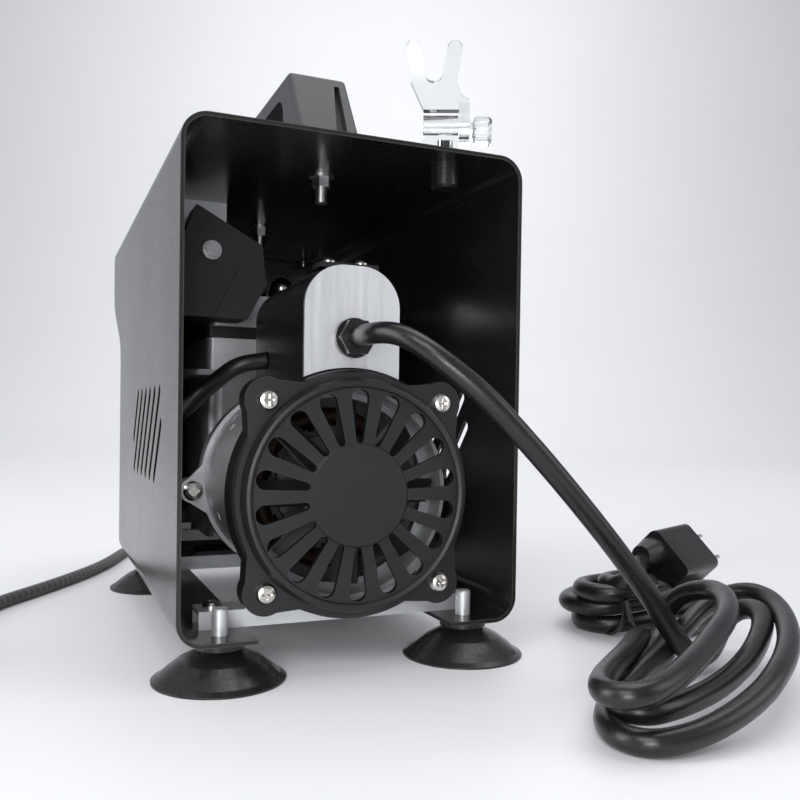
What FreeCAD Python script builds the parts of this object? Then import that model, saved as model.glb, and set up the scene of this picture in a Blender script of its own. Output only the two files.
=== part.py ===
import FreeCAD, Part
import math
import os

# Airbrush compressor. Working frame, in millimetres: x is 0 on the middle plane, y is 0 at the
# open back edge of the shell and grows towards the front, z is 0 at the underside of the shell.
# Every piece is moved by SHIFT when it is saved, so that the origin is under the middle of the
# object, on the surface that it stands on.

V = FreeCAD.Vector
X = V(1, 0, 0)
Y = V(0, 1, 0)
Z = V(0, 0, 1)

# ---------------------------------------------------------------- driving dimensions
SHELL_W = 130.0
SHELL_H = 180.0
SHELL_D = 255.0
SHEET = 1.5
SHELL_R = 9.5
FLANGE_W = 28.0
LOWER_D = 210.0          # depth of the recessed lower front
BROW_Z = 143.0           # lower corner of the brow
RECESS_Z = 118.0         # top of the recessed lower front
FOOT_H = 14.0
CUP_R = 23.5
FOOT_X = 48.0
FOOT_YS = (12.0, 185.0)
SHAFT_Z = 50.4           # height of the motor's axis
CYL_Y = 150.0            # the pump's cylinder stands here
THROW = 5.0              # crank throw, half of the stroke
BORE_R = 20.0
CORD_D = 7.7
HOSE_D = 6.0
RUN_FIT = 0.05           # radial running clearance of shafts
GAP = 0.3                # clearance between moving bodies elsewhere

FLOOR = -FOOT_H
HALF_W = SHELL_W / 2
BACK_OVERHANG = CUP_R - FOOT_YS[0]
SHIFT = V(0, (BACK_OVERHANG - SHELL_D) / 2, FOOT_H)


# ---------------------------------------------------------------- helpers
def box(x0, x1, y0, y1, z0, z1):
    return Part.makeBox(x1 - x0, y1 - y0, z1 - z0, V(x0, y0, z0))


def rod(radius, start, axis, length):
    return Part.makeCylinder(radius, length, start, axis)


def ring(outer, inner, start, axis, length):
    hole = Part.makeCylinder(inner, length + 2, start - axis * 1.0, axis)
    return Part.makeCylinder(outer, length, start, axis).cut(hole)


def cone(r0, r1, start, axis, length):
    return Part.makeCone(r0, r1, length, start, axis)


def face_of(points):
    return Part.Face(Part.makePolygon([V(*p) for p in points] + [V(*points[0])]))


def prism(points, direction):
    return face_of(points).extrude(direction)


def lathe(profile, base, axis):
    """Turn (radius, height) points round an axis that starts at base."""
    side = V(1, 0, 0) if abs(axis.x) < 0.5 else V(0, 1, 0)
    outline = [base + side * r + axis * h for r, h in profile]
    wire = Part.makePolygon(outline + [outline[0]])
    return Part.Face(wire).revolve(base, axis, 360)


def edges_along(shape, axis):
    found = []
    for edge in shape.Edges:
        if edge.Curve.TypeId != "Part::GeomLine":
            continue
        run = edge.Vertexes[1].Point - edge.Vertexes[0].Point
        if run.Length > 1e-6 and abs(run.normalize().dot(axis)) > 0.999:
            found.append(edge)
    return found


def round_along(shape, axis, radius):
    return shape.makeFillet(radius, edges_along(shape, axis))


def hexagon(across, start, axis, height):
    radius = across / math.sqrt(3)
    side = X if abs(axis.x) < 0.5 else Y
    other = axis.cross(side)
    corners = []
    for i in range(6):
        a = math.radians(60 * i)
        corners.append(start + side * (radius * math.cos(a)) + other * (radius * math.sin(a)))
    wire = Part.makePolygon(corners + [corners[0]])
    return Part.Face(wire).extrude(axis * height)


def fuse(parts):
    whole = parts[0]
    for piece in parts[1:]:
        whole = whole.fuse(piece)
    return whole.removeSplitter()


def drill(body, tools):
    for tool in tools:
        body = body.cut(tool)
    return body


def pan_screw(head_r, head_h, shank_r, length, seat, out):
    """Pan head cross-recess screw: seat is under the head, out points away from the work."""
    head = lathe([(0, 0), (head_r, 0), (head_r, head_h * 0.45), (head_r * 0.82, head_h * 0.82),
                  (head_r * 0.5, head_h), (0, head_h)], seat, out)
    side = X if abs(out.x) < 0.5 else Y
    other = out.cross(side)
    slot_long = head_r * 1.1
    slot_wide = head_r * 0.26
    deep = head_h * 0.6
    for u, w in ((side, other), (other, side)):
        corner = seat + out * (head_h - deep) - u * (slot_long / 2) - w * (slot_wide / 2)
        wire = Part.makePolygon([corner, corner + u * slot_long, corner + u * slot_long + w * slot_wide,
                                 corner + w * slot_wide, corner])
        head = head.cut(Part.Face(wire).extrude(out * (deep + 1)))
    return head.fuse(rod(shank_r, seat, out * -1, length)).removeSplitter()


def rounded_route(points, section_r, name):
    """A round tube whose path is straight runs joined by tangent arcs."""
    route = [V(*p) for p in points]
    arcs = []
    for i in range(1, len(route) - 1):
        into = route[i] - route[i - 1]
        onward = route[i + 1] - route[i]
        shorter = min(into.Length, onward.Length)
        turn = into.getAngle(onward)
        radius = 0.45 * shorter / math.tan(turn / 2)
        trim = 0.45 * shorter
        start = route[i] - into.normalize() * trim
        end = route[i] + onward.normalize() * trim
        inward = (start + end) * 0.5 - route[i]
        to_centre = math.hypot(radius, trim)
        middle = route[i] + inward.normalize() * (to_centre - radius)
        arcs.append((start, middle, end, radius))
    edges = []
    here = route[0]
    for start, middle, end, radius in arcs:
        edges.append(Part.LineSegment(here, start).toShape())
        edges.append(Part.Arc(start, middle, end).toShape())
        here = end
    edges.append(Part.LineSegment(here, route[-1]).toShape())
    path = Part.Wire(edges)
    first = (route[1] - route[0]).normalize()
    section = Part.Wire(Part.makeCircle(section_r, route[0], first))
    tube = path.makePipeShell([section], True, True)
    true_volume = math.pi * section_r ** 2 * path.Length
    print(name, "length", round(path.Length), "radii", [round(a[3]) for a in arcs],
          "volume ratio", round(tube.Volume / true_volume, 4))
    return tube


def oval_ring(centre, half_long, half_wide, hole_long, hole_wide, heading, z0, height):
    """A flat oval ring: the outer shape of a lying coil or hank."""
    def oval(a, b):
        edge = Part.Ellipse(V(0, 0, 0), a, b).toShape()
        return Part.Face(Part.Wire(edge)).extrude(V(0, 0, height))
    body = oval(half_long, half_wide).cut(oval(hole_long, hole_wide))
    body.rotate(V(0, 0, 0), Z, heading)
    body.translate(V(centre[0], centre[1], z0))
    return body


def save(name, solids):
    if not isinstance(solids, (list, tuple)):
        solids = [solids]
    pieces = []
    for shape in solids:
        pieces.extend(shape.Solids)
    for solid in pieces:
        if not solid.isValid():
            print("not valid:", name)
    whole = pieces[0].copy() if len(pieces) == 1 else Part.makeCompound([s.copy() for s in pieces])
    whole.translate(SHIFT)
    whole.exportStep("parts/" + name + ".step")


# ---------------------------------------------------------------- shell and front panel
def side_outline(inset):
    """The front edge of the side, as (y, z) points, moved inwards by inset."""
    low = LOWER_D - inset
    brow = SHELL_D - inset
    return [(low, RECESS_Z - 10), (low + 2.2, RECESS_Z - 2), (low + 7.5, RECESS_Z + 3.2),
            (brow - 7.5, BROW_Z - 5.2), (brow - 2.2, BROW_Z), (brow, BROW_Z + 8)]


HANDLE_BOLT_YS = (52.0, 158.0)
HOLDER_X = 38.6
HOLDER_Y = 15.0
PANEL_SCREW_X = 50.0


def make_shell():
    outer = round_along(box(-HALF_W, HALF_W, 0, SHELL_D, 0, SHELL_H), Y, SHELL_R)
    inner = box(-HALF_W + SHEET, HALF_W - SHEET, -1, SHELL_D + 1, SHEET, SHELL_H - SHEET)
    inner = round_along(inner, Y, SHELL_R - SHEET)
    open_x = HALF_W - FLANGE_W
    shell = outer.cut(inner).cut(box(-open_x, open_x, -1, SHELL_D + 1, -1, SHEET + 1))
    profile = [(-1, -1), (LOWER_D, -1)] + side_outline(0) + [(SHELL_D, SHELL_H + 1), (-1, SHELL_H + 1)]
    shell = shell.common(prism([(-HALF_W - 1, y, z) for y, z in profile], V(SHELL_W + 2, 0, 0)))
    shell = shell.cut(side_slots())
    holes = [rod(2.7, V(0, y, SHELL_H - 5), Z, 10) for y in HANDLE_BOLT_YS]
    holes.append(rod(5.1, V(HOLDER_X, HOLDER_Y, SHELL_H - 5), Z, 10))
    for x in (-FOOT_X, FOOT_X):
        holes += [rod(3.0, V(x, y, -2), Z, 6) for y in FOOT_YS]
        holes += [rod(2.1, V(x, y, -2), Z, 6) for y in BAR_SCREW_YS]
    for x in (-PANEL_SCREW_X, PANEL_SCREW_X):
        holes.append(rod(1.6, V(x, 200, -2), Z, 6))
        holes.append(rod(1.6, V(x, 246, SHELL_H - 5), Z, 10))
    return drill(shell, holes)


def side_slots():
    """Seven slanted slots cut through both sides, their tops leaning to the back."""
    lean = 32.5 / 37.7
    pitch = 14.6
    wide = 4.6
    low, high = 52.0, 89.5
    first = 47.5          # where the middle one of the full slots would start at the bottom
    tools = []
    for i in range(7):
        z_low, z_high = low, high
        if i == 6:
            z_low = 66.0
        if i == 0:
            z_high = 77.0
        foot_y = first + pitch * (i + 1)
        y_low = foot_y - (z_low - low) * lean
        y_high = foot_y - (z_high - low) * lean
        along = V(0, y_high - y_low, z_high - z_low)
        unit = V(along).normalize()
        across = V(0, unit.z, -unit.y) * (wide / 2)
        start = V(-HALF_W - 1, y_low, z_low) + unit * (wide / 2)
        end = V(-HALF_W - 1, y_high, z_high) - unit * (wide / 2)
        edges = [Part.makeLine(start + across, end + across),
                 Part.Arc(end + across, end + unit * (wide / 2), end - across).toShape(),
                 Part.makeLine(end - across, start - across),
                 Part.Arc(start - across, start - unit * (wide / 2), start + across).toShape()]
        tools.append(Part.Face(Part.Wire(edges)).extrude(V(SHELL_W + 2, 0, 0)))
    return Part.makeCompound(tools)


PANEL_T = 1.2
PANEL_IN = 1.2            # the panel sits this far behind the shell's front edge
REG_X = -18.0
REG_Y = 233.0
ROCKER_X = -36.0
ROCKER_Z = 160.0
INLET_Z = 87.0


def make_front_panel():
    outer = side_outline(PANEL_IN)
    inner = side_outline(PANEL_IN + PANEL_T)
    lip_low = SHEET + 0.1
    lip_top = SHELL_H - SHEET - 0.1
    inner = [(y, z + PANEL_T * 0.4) if i > 1 else (y, z) for i, (y, z) in enumerate(inner)]
    front = [(LOWER_D - PANEL_IN, lip_low)] + outer + [(SHELL_D - PANEL_IN, lip_top)]
    back = [(SHELL_D - PANEL_IN - PANEL_T, lip_top - PANEL_T)] + inner[::-1]
    back.append((LOWER_D - PANEL_IN - PANEL_T, lip_low + PANEL_T))
    loop = [(190, lip_low)] + front + [(238, lip_top), (238, lip_top - PANEL_T)] + back
    loop.append((190, lip_low + PANEL_T))
    half = HALF_W - SHEET - 0.2
    panel = prism([(-half, y, z) for y, z in loop], V(2 * half, 0, 0))
    corner = 8.2
    keep = round_along(box(-half, half, 150, 300, lip_low, lip_top), Y, corner)
    panel = panel.common(keep)
    tools = [rod(5.2, V(REG_X, 200, INLET_Z), Y, 20),
             box(ROCKER_X - 9.7, ROCKER_X + 9.7, 245, 260, ROCKER_Z - 6.7, ROCKER_Z + 6.7)]
    for x in (-PANEL_SCREW_X, PANEL_SCREW_X):
        tools.append(rod(1.6, V(x, 200, 0), Z, 6))
        tools.append(rod(1.6, V(x, 246, SHELL_H - 6), Z, 8))
    return drill(panel, tools)


def make_panel_screws():
    screws = []
    for x in (-PANEL_SCREW_X, PANEL_SCREW_X):
        screws.append(pan_screw(2.8, 1.8, 1.5, 5, V(x, 200, 0), Z * -1))
        screws.append(pan_screw(2.8, 1.8, 1.5, 5, V(x, 246, SHELL_H), Z))
    return screws


# ---------------------------------------------------------------- handle
HANDLE_HALF = 12.8
HANDLE_TOP = SHELL_H + 42.0
HANDLE_FOOT_YS = (32.5, 177.5)
HANDLE_TOP_YS = (59.5, 150.5)
FINGER_YS = (66.0, 144.0)


def make_handle():
    foot0, foot1 = HANDLE_FOOT_YS
    top0, top1 = HANDLE_TOP_YS
    outline = [(foot0, SHELL_H), (foot1, SHELL_H), (top1, HANDLE_TOP), (top0, HANDLE_TOP)]
    grip = prism([(-HANDLE_HALF, y, z) for y, z in outline], V(2 * HANDLE_HALF, 0, 0))
    grip = grip.makeFillet(2.2, [e for e in grip.Edges if e.BoundBox.ZMax > SHELL_H + 1])
    window = box(-20, 20, FINGER_YS[0], FINGER_YS[1], SHELL_H - 10, HANDLE_TOP - 8)
    window = window.makeFillet(9, [e for e in edges_along(window, X) if e.BoundBox.ZMax > SHELL_H + 5])
    grip = grip.cut(window)
    deep = 4.5
    skin = prism([(-20, foot0 - 9, SHELL_H), (-20, foot0 + deep, SHELL_H), (-20, top0 + deep, HANDLE_TOP),
                  (-20, top0 - 9, HANDLE_TOP)], V(40, 0, 0))
    pocket = prism([(1.0, 0, SHELL_H + 3), (7.0, 0, SHELL_H + 3), (8.8, 0, HANDLE_TOP - 4),
                    (6.6, 0, HANDLE_TOP - 4)], V(0, 100, 0))
    grip = grip.cut(skin.common(pocket))
    for y in HANDLE_BOLT_YS:
        grip = grip.cut(rod(2.6, V(0, y, SHELL_H - 1), Z, 16))
    return grip


def make_handle_bolts():
    return [rod(2.5, V(0, y, SHELL_H - 13.0), Z, 26.5) for y in HANDLE_BOLT_YS]


def make_handle_nuts():
    pieces = []
    for y in HANDLE_BOLT_YS:
        under = SHELL_H - SHEET
        pieces.append(ring(5.0, 2.55, V(0, y, under - 1.2), Z, 1.2))
        nut = hexagon(7.0, V(0, y, under - 5.2), Z, 4.0)
        pieces.append(nut.cut(rod(2.55, V(0, y, under - 7), Z, 8)))
    return pieces


# ---------------------------------------------------------------- feet
def make_feet():
    cups = []
    for x in (-FOOT_X, FOOT_X):
        for y in FOOT_YS:
            base = V(x, y, FLOOR)
            shape = [(3.0, FOOT_H), (9.0, FOOT_H), (9.0, FOOT_H - 2.6), (8.0, FOOT_H - 3.4),
                     (10.5, FOOT_H - 4.6), (14.5, 7.4), (18.2, 4.6), (21.4, 1.9), (CUP_R, 0.7),
                     (CUP_R, 0), (22.0, 0), (19.0, 1.9), (14.5, 4.1), (9.0, 5.6), (3.0, 6.0)]
            cups.append(lathe(shape, base, Z))
    return cups


def make_foot_studs():
    studs = []
    for x in (-FOOT_X, FOOT_X):
        for y in FOOT_YS:
            stud = rod(2.95, V(x, y, FLOOR + 7), Z, 18)
            stud = stud.makeChamfer(0.5, [stud.Edges[0]])
            studs.append(stud.cut(box(x - 4, x + 4, y - 0.6, y + 0.6, 9.0, 12)))
    return studs


# ---------------------------------------------------------------- cross bars
BAR_YS = (20.0, 143.0)
BAR_D = 14.0
BAR_TOP = 8.0
BAR_X = 54.0
BAR_SCREW_YS = (27.0, 150.0)
CAN_R = 40.0


def cross_bar(y0, cradle):
    sheet = 1.5
    bar = box(-BAR_X, BAR_X, y0, y0 + BAR_D, SHEET, BAR_TOP)
    bar = bar.cut(box(-BAR_X - 1, BAR_X + 1, y0 + sheet, y0 + BAR_D - sheet, SHEET - 1, BAR_TOP - sheet))
    if cradle:
        web = prism([(-38, y0, BAR_TOP - 1), (38, y0, BAR_TOP - 1), (29, y0, 21), (-29, y0, 21)],
                    V(0, sheet, 0))
        can = rod(CAN_R + 0.05, V(0, y0 - 5, SHAFT_Z), Y, 30)
        bar = bar.fuse(web).cut(can)
    screw_y = y0 + BAR_D / 2
    holes = [rod(2.2, V(x, screw_y, 0), Z, 12) for x in (-FOOT_X, FOOT_X)]
    if not cradle:
        holes += [rod(2.7, V(x, screw_y, 0), Z, 12) for x in (-CASE_FOOT_X, CASE_FOOT_X)]
    return drill(bar, holes)


CASE_FOOT_X = 38.5
CASE_FOOT_TOP = 21.2


def make_bar_screws():
    screws = []
    for x in (-FOOT_X, FOOT_X):
        for y in BAR_SCREW_YS:
            screws.append(pan_screw(3.6, 2.4, 2.0, 10, V(x, y, BAR_TOP), Z))
    return screws


def make_isolators():
    bushes = []
    for x in (-CASE_FOOT_X, CASE_FOOT_X):
        bush = lathe([(2.6, 0), (5.6, 0), (5.6, 2.0), (4.6, 3.0), (4.6, 5.0), (5.6, 6.0), (5.6, 8.0),
                      (2.6, 8.0)], V(x, CYL_Y, BAR_TOP), Z)
        bushes.append(bush)
    return bushes


def make_isolator_bolts():
    bolts = []
    for x in (-CASE_FOOT_X, CASE_FOOT_X):
        head = hexagon(8.0, V(x, CYL_Y, CASE_FOOT_TOP), Z, 3.4)
        bolts.append(head.fuse(rod(2.5, V(x, CYL_Y, 3.0), Z, CASE_FOOT_TOP - 3.0)))
    return bolts


# ---------------------------------------------------------------- motor
CAN_Y0 = 14.0
CAN_Y1 = 90.0
CAN_T = 1.5
EAR_R = 45.3
EAR_ANGLES = (186.0, 276.0, 6.0, 96.0)


def axis_spot(radius, degrees, y):
    a = math.radians(degrees)
    return V(radius * math.cos(a), y, SHAFT_Z + radius * math.sin(a))


def ear_plate(radius, degrees, y, thickness):
    """A triangular ear with a round end, standing out from the motor's drum."""
    tip = axis_spot(radius, degrees, y)
    end = rod(5.4, tip, Y, thickness)
    left = axis_spot(CAN_R + 1.0, degrees - 16, y)
    right = axis_spot(CAN_R + 1.0, degrees + 16, y)
    inner = axis_spot(CAN_R - 1.0, degrees, y)
    out_left = axis_spot(radius + 2.0, degrees - 6.2, y)
    out_right = axis_spot(radius + 2.0, degrees + 6.2, y)
    wire = Part.makePolygon([inner, left, out_left, out_right, right, inner])
    return end.fuse(Part.Face(wire).extrude(V(0, thickness, 0)))


def make_motor_can():
    can = rod(CAN_R, V(0, CAN_Y0, SHAFT_Z), Y, CAN_Y1 - CAN_Y0)
    rim = ring(CAN_R + 1.6, CAN_R - 1, V(0, CAN_Y1 - 1.6, SHAFT_Z), Y, 1.6)
    can = can.fuse(rim)
    for angle in EAR_ANGLES:
        can = can.fuse(ear_plate(EAR_R, angle, CAN_Y1 - 1.6, 1.6))
    for angle in COVER_EARS:
        spot = axis_spot(COVER_SCREW_R, angle, CAN_Y0)
        lug = rod(4.6, spot, Y, LUG_D).fuse(prism_lug(angle))
        can = can.fuse(lug)
    can = can.cut(rod(CAN_R - CAN_T, V(0, CAN_Y0 - 1, SHAFT_Z), Y, CAN_Y1 - CAN_Y0 + 2))
    tools = [rod(1.9, axis_spot(EAR_R, a, CAN_Y1 - 4), Y, 6) for a in EAR_ANGLES]
    tools += [rod(1.6, axis_spot(COVER_SCREW_R, a, CAN_Y0 - 1), Y, 14) for a in COVER_EARS]
    for row, y in enumerate((66.0, 76.0)):
        for i in range(12):
            angle = 20 + 28 * i + 7 * row
            vent = box(CAN_R - 4, CAN_R + 4, y, y + 4.5, SHAFT_Z - 1.6, SHAFT_Z + 1.6)
            vent.rotate(V(0, 0, SHAFT_Z), Y, angle)
            tools.append(vent)
    tools.append(box(-6, 6, 40, 60, SHAFT_Z + CAN_R - 4, SHAFT_Z + CAN_R + 4))
    return drill(can, tools).removeSplitter()


LUG_D = 5.6
COVER_SCREW_X = 33.5
COVER_SCREW_Z = 34.0
COVER_SCREW_R = math.hypot(COVER_SCREW_X, COVER_SCREW_Z)
COVER_EARS = [math.degrees(math.atan2(sz * COVER_SCREW_Z, sx * COVER_SCREW_X))
              for sx, sz in ((1, 1), (-1, 1), (-1, -1), (1, -1))]


def prism_lug(angle):
    inner_a = axis_spot(CAN_R - 1.2, angle - 6.4, CAN_Y0)
    inner_b = axis_spot(CAN_R - 1.2, angle + 6.4, CAN_Y0)
    outer_a = axis_spot(COVER_SCREW_R, angle - 5.4, CAN_Y0)
    outer_b = axis_spot(COVER_SCREW_R, angle + 5.4, CAN_Y0)
    wire = Part.makePolygon([inner_a, outer_a, outer_b, inner_b, inner_a])
    return Part.Face(wire).extrude(V(0, LUG_D, 0))


def make_can_screws():
    return [pan_screw(4.3, 2.8, 1.85, 10, axis_spot(EAR_R, a, CAN_Y1 - 1.6), Y * -1) for a in EAR_ANGLES]


def make_cover_screws():
    return [pan_screw(3.7, 2.6, 1.55, 14, axis_spot(COVER_SCREW_R, a, COVER_EAR_Y), Y * -1)
            for a in COVER_EARS]


COVER_EAR_Y = 5.0


def make_fan_cover():
    """Round dished cover with a raised rim, radial slots, a plain hub and four ears."""
    rim_r = 43.0
    skirt = [(46.5, 14.0), (45.6, 6.2), (44.6, 5.0), (rim_r, 5.0), (rim_r - 0.4, 2.0), (rim_r - 1.4, 0.4),
             (40.6, 0.0), (39.6, 0.6), (39.0, 1.8), (19.2, 1.8), (18.4, 1.0), (0, 1.0),
             (0, 3.6), (37.5, 4.2), (40.6, 6.0), (42.6, 8.0), (44.3, 14.0)]
    cover = lathe(skirt, V(0, 0, SHAFT_Z), Y)
    for angle in COVER_EARS:
        spot = axis_spot(COVER_SCREW_R, angle, COVER_EAR_Y)
        ear = rod(8.2, spot, Y, 14.0 - COVER_EAR_Y)
        ear = ear.cut(rod(6.2, spot + Y * 2.2, Y, 12))
        ear = ear.fuse(ring(3.4, 1.0, spot, Y, 9.0))
        hood = [axis_spot(r, angle + da, COVER_EAR_Y) for r, da in
                ((44.0, -21), (51.0, -8.5), (51.0, 8.5), (44.0, 21))]
        web = Part.Face(Part.makePolygon(hood + [hood[0]])).extrude(V(0, 9.0, 0))
        inner = [axis_spot(r, angle + da, COVER_EAR_Y + 2.2) for r, da in
                 ((42.0, -19), (49.4, -6.5), (49.4, 6.5), (42.0, 19))]
        web = web.cut(Part.Face(Part.makePolygon(inner + [inner[0]])).extrude(V(0, 9.0, 0)))
        cover = cover.fuse(ear.fuse(web))
    cover = cover.cut(rod(41.8, V(0, 8.0, SHAFT_Z), Y, 10))
    tools = [rod(1.6, axis_spot(COVER_SCREW_R, a, 0), Y, 20) for a in COVER_EARS]
    tools += [cover_slot(20 * i + 90) for i in range(18)]
    return drill(cover, tools)


def cover_slot(angle):
    """A tapered slot with round ends, wide at the rim and narrow at the hub."""
    r_in, r_out = 20.4, 35.2
    half_in, half_out = 1.5, 3.5
    inner = [V(r_in, 0, -half_in), V(r_in - half_in, 0, 0), V(r_in, 0, half_in)]
    outer = [V(r_out, 0, half_out), V(r_out + half_out, 0, 0), V(r_out, 0, -half_out)]
    edges = [Part.Arc(*inner).toShape(), Part.makeLine(inner[2], outer[0]),
             Part.Arc(*outer).toShape(), Part.makeLine(outer[2], inner[0])]
    slot = Part.Face(Part.Wire(edges)).extrude(V(0, 12, 0))
    slot.rotate(V(0, 0, 0), Y, -angle)
    slot.translate(V(0, -2, SHAFT_Z))
    return slot


STATOR_Y = (42.0, 76.0)
ROTOR_R = 20.6
SHAFT_R = 4.0


def make_stator_core():
    y0, y1 = STATOR_Y
    core = ring(CAN_R - CAN_T - 0.05, ROTOR_R + 0.5, V(0, y0, SHAFT_Z), Y, y1 - y0)
    tools = []
    for i in range(24):
        slot = box(23.0, 31.0, y0 - 1, y1 + 1, SHAFT_Z - 1.3, SHAFT_Z + 1.3)
        slot.rotate(V(0, 0, SHAFT_Z), Y, 15 * i)
        tools.append(slot)
    return drill(core, tools)


def make_windings():
    y0, y1 = STATOR_Y
    heads = []
    for y, step in ((y0 - 7.5, 1), (y1, -1)):
        head = Part.makeTorus(28.5, 3.6, V(0, y + 3.75, SHAFT_Z), Y)
        heads.append(head)
    return heads


def make_rear_bell():
    y = 27.0
    bell = ring(14.5, 11.0, V(0, y, SHAFT_Z), Y, 6.5)
    for i in range(4):
        spoke = box(13.0, CAN_R - CAN_T - 1.0, y, y + 4, SHAFT_Z - 3, SHAFT_Z + 3)
        spoke.rotate(V(0, 0, SHAFT_Z), Y, 45 + 90 * i)
        bell = bell.fuse(spoke)
    band = ring(CAN_R - CAN_T - 0.05, CAN_R - CAN_T - 2.5, V(0, y, SHAFT_Z), Y, 4)
    return bell.fuse(band).removeSplitter()


def ball_bearing(y, bore_r):
    outer = ring(11.0, 9.2, V(0, y, SHAFT_Z), Y, 6.5)
    inner = ring(6.0, bore_r, V(0, y, SHAFT_Z), Y, 6.5)
    seal = ring(9.2, 6.0, V(0, y + 1, SHAFT_Z), Y, 4.5)
    return outer.fuse(inner).fuse(seal).removeSplitter()


def make_shaft():
    return rod(SHAFT_R, V(0, 13.0, SHAFT_Z), Y, 123.0)


def make_rotor_core():
    y0, y1 = STATOR_Y
    return ring(ROTOR_R, SHAFT_R, V(0, y0, SHAFT_Z), Y, y1 - y0)


def make_fan():
    y0 = 12.0
    hub = ring(10.0, SHAFT_R, V(0, y0, SHAFT_Z), Y, 9.0)
    disc = ring(12.0, SHAFT_R, V(0, y0 + 7.0, SHAFT_Z), Y, 2.0)
    fan = hub.fuse(disc)
    for i in range(8):
        blade = box(9.0, 34.5, -0.8, 0.8, -5.2, 5.2)
        blade.rotate(V(0, 0, 0), X, 34)
        blade.translate(V(0, y0 + 5.0, SHAFT_Z))
        blade.rotate(V(0, 0, SHAFT_Z), Y, 45 * i)
        fan = fan.fuse(blade)
    keep = rod(37.0, V(0, y0, SHAFT_Z), Y, 11.5)
    return fan.common(keep).removeSplitter()


# ---------------------------------------------------------------- terminal box
BOX_HALF = 18.7
BOX_TOP = 135.0
BOX_LOW = 91.2
BOX_Y = (11.0, 85.5)
WIRE_HOLE_Z = 102.0
GLAND_Z = 108.0


def arched(y0, y1, half, low, top, bend):
    block = box(-half, half, y0, y1, low, top)
    return block.makeFillet(bend, [e for e in edges_along(block, Y) if e.BoundBox.ZMin > top - 1])


def fan_cover_room():
    return rod(46.7, V(0, 0, SHAFT_Z), Y, 14.2)


def make_terminal_face():
    y0 = BOX_Y[0]
    face = arched(y0, y0 + 1.6, BOX_HALF, BOX_LOW, BOX_TOP, 15.5)
    return drill(face, [rod(5.55, V(0, y0 - 1, GLAND_Z), Y, 5), fan_cover_room()])


def make_terminal_cover():
    y0, y1 = BOX_Y
    outer = arched(y0 + 1.6, y1, BOX_HALF, BOX_LOW, BOX_TOP, 15.5)
    inner = arched(y0 + 1.0, y1 - 2, BOX_HALF - 1.8, BOX_LOW - 1, BOX_TOP - 1.8, 14.0)
    outer = outer.cut(inner)
    strap = box(-11.5, 11.5, y0 + 4, y0 + 15, BOX_TOP - 0.5, BOX_TOP + 1.4)
    outer = outer.fuse(strap).removeSplitter()
    tools = [rod(1.5, V(x, y0 + 9, BOX_TOP - 4), Z, 8) for x in RIDGE_SCREW_XS]
    tools += [rod(4.1, V(-BOX_HALF - 2, 66, WIRE_HOLE_Z), X, 5), fan_cover_room()]
    return drill(outer, tools)


RIDGE_SCREW_XS = (-7.0, 6.0)


def make_ridge_screws():
    return [pan_screw(2.9, 2.2, 1.45, 3.6, V(x, BOX_Y[0] + 9, BOX_TOP + 1.4), Z) for x in RIDGE_SCREW_XS]


def make_capacitor():
    return round_along(box(-13, 13, 40, 72, 96, 114), Y, 4)


def make_gland():
    """Snap-in cord gland: a flange against the plate, a waist through it and a hex collar."""
    y0 = BOX_Y[0]
    start = V(0, y0, GLAND_Z)
    flange = rod(7.4, start - Y * 2.4, Y, 2.4)
    waist = rod(5.5, start - Y * 0.5, Y, 6.0)
    collar = hexagon(12.2, start - Y * 6.6, Y, 4.4)
    body = fuse([flange, waist, collar])
    return body.cut(rod(CORD_D / 2 + 0.05, start - Y * 10, Y, 20))


# ---------------------------------------------------------------- pump
CASE_Y0 = 90.0


def make_crankcase():
    flange = rod(CAN_R + 1.6, V(0, CASE_Y0, SHAFT_Z), Y, 6)
    for angle in EAR_ANGLES:
        flange = flange.fuse(rod(5.4, axis_spot(EAR_R, angle, CASE_Y0), Y, 8))
    neck = rod(30, V(0, CASE_Y0, SHAFT_Z), Y, 30)
    body = round_along(box(-33, 33, 116, 184, 21.0, 98), Z, 6)
    ledge = round_along(box(-44, 44, 114, 186, 97.5, 100), Z, 8)
    foot = round_along(box(-44.5, 44.5, 143, 157, 16.0, CASE_FOOT_TOP), Z, 4)
    case = fuse([flange, neck, body, ledge, foot])
    cavity = box(-27, 27, 126, 178, 24, 88)
    tools = [cavity, rod(BORE_R + 0.6, V(0, CYL_Y, 75), Z, 30),
             rod(11.0, V(0, 118.0, SHAFT_Z), Y, 10), rod(6.0, V(0, 80, SHAFT_Z), Y, 60),
             rod(28.0, V(0, CASE_Y0 - 1, SHAFT_Z), Y, 25)]
    tools += [rod(1.85, axis_spot(EAR_R, a, CASE_Y0 - 1), Y, 12) for a in EAR_ANGLES]
    tools += [rod(2.6, V(x, CYL_Y, 10), Z, 13) for x in (-CASE_FOOT_X, CASE_FOOT_X)]
    tools.append(rod(24.5, V(0, 176, SHAFT_Z), Y, 12))
    return drill(case, tools)


def make_case_cover():
    cover = rod(28.5, V(0, 184.0, SHAFT_Z), Y, 3).fuse(rod(24.3, V(0, 179.0, SHAFT_Z), Y, 5.5))
    for i in range(4):
        cover = cover.cut(rod(1.6, axis_spot(26.4, 45 + 90 * i, 183), Y, 6))
    return cover.removeSplitter()


def make_case_cover_screws():
    return [pan_screw(2.6, 1.8, 1.5, 3, axis_spot(26.4, 45 + 90 * i, 187.0), Y) for i in range(4)]


def make_crank():
    """Crank disc with its counterweight and the crank pin, the pin at its highest point."""
    disc = rod(13.0, V(0, 136.0, SHAFT_Z), Y, 7.0)
    weight = rod(20.0, V(0, 136.0, SHAFT_Z), Y, 7.0)
    weight = weight.cut(box(-30, 30, 130, 150, SHAFT_Z - 3, SHAFT_Z + 30))
    pin = rod(4.0, V(0, 142.0, SHAFT_Z + THROW), Y, 14.0)
    return fuse([disc, weight, pin])


PIN_LIFT = 37.0           # height of the wrist pin above the crank pin


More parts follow.
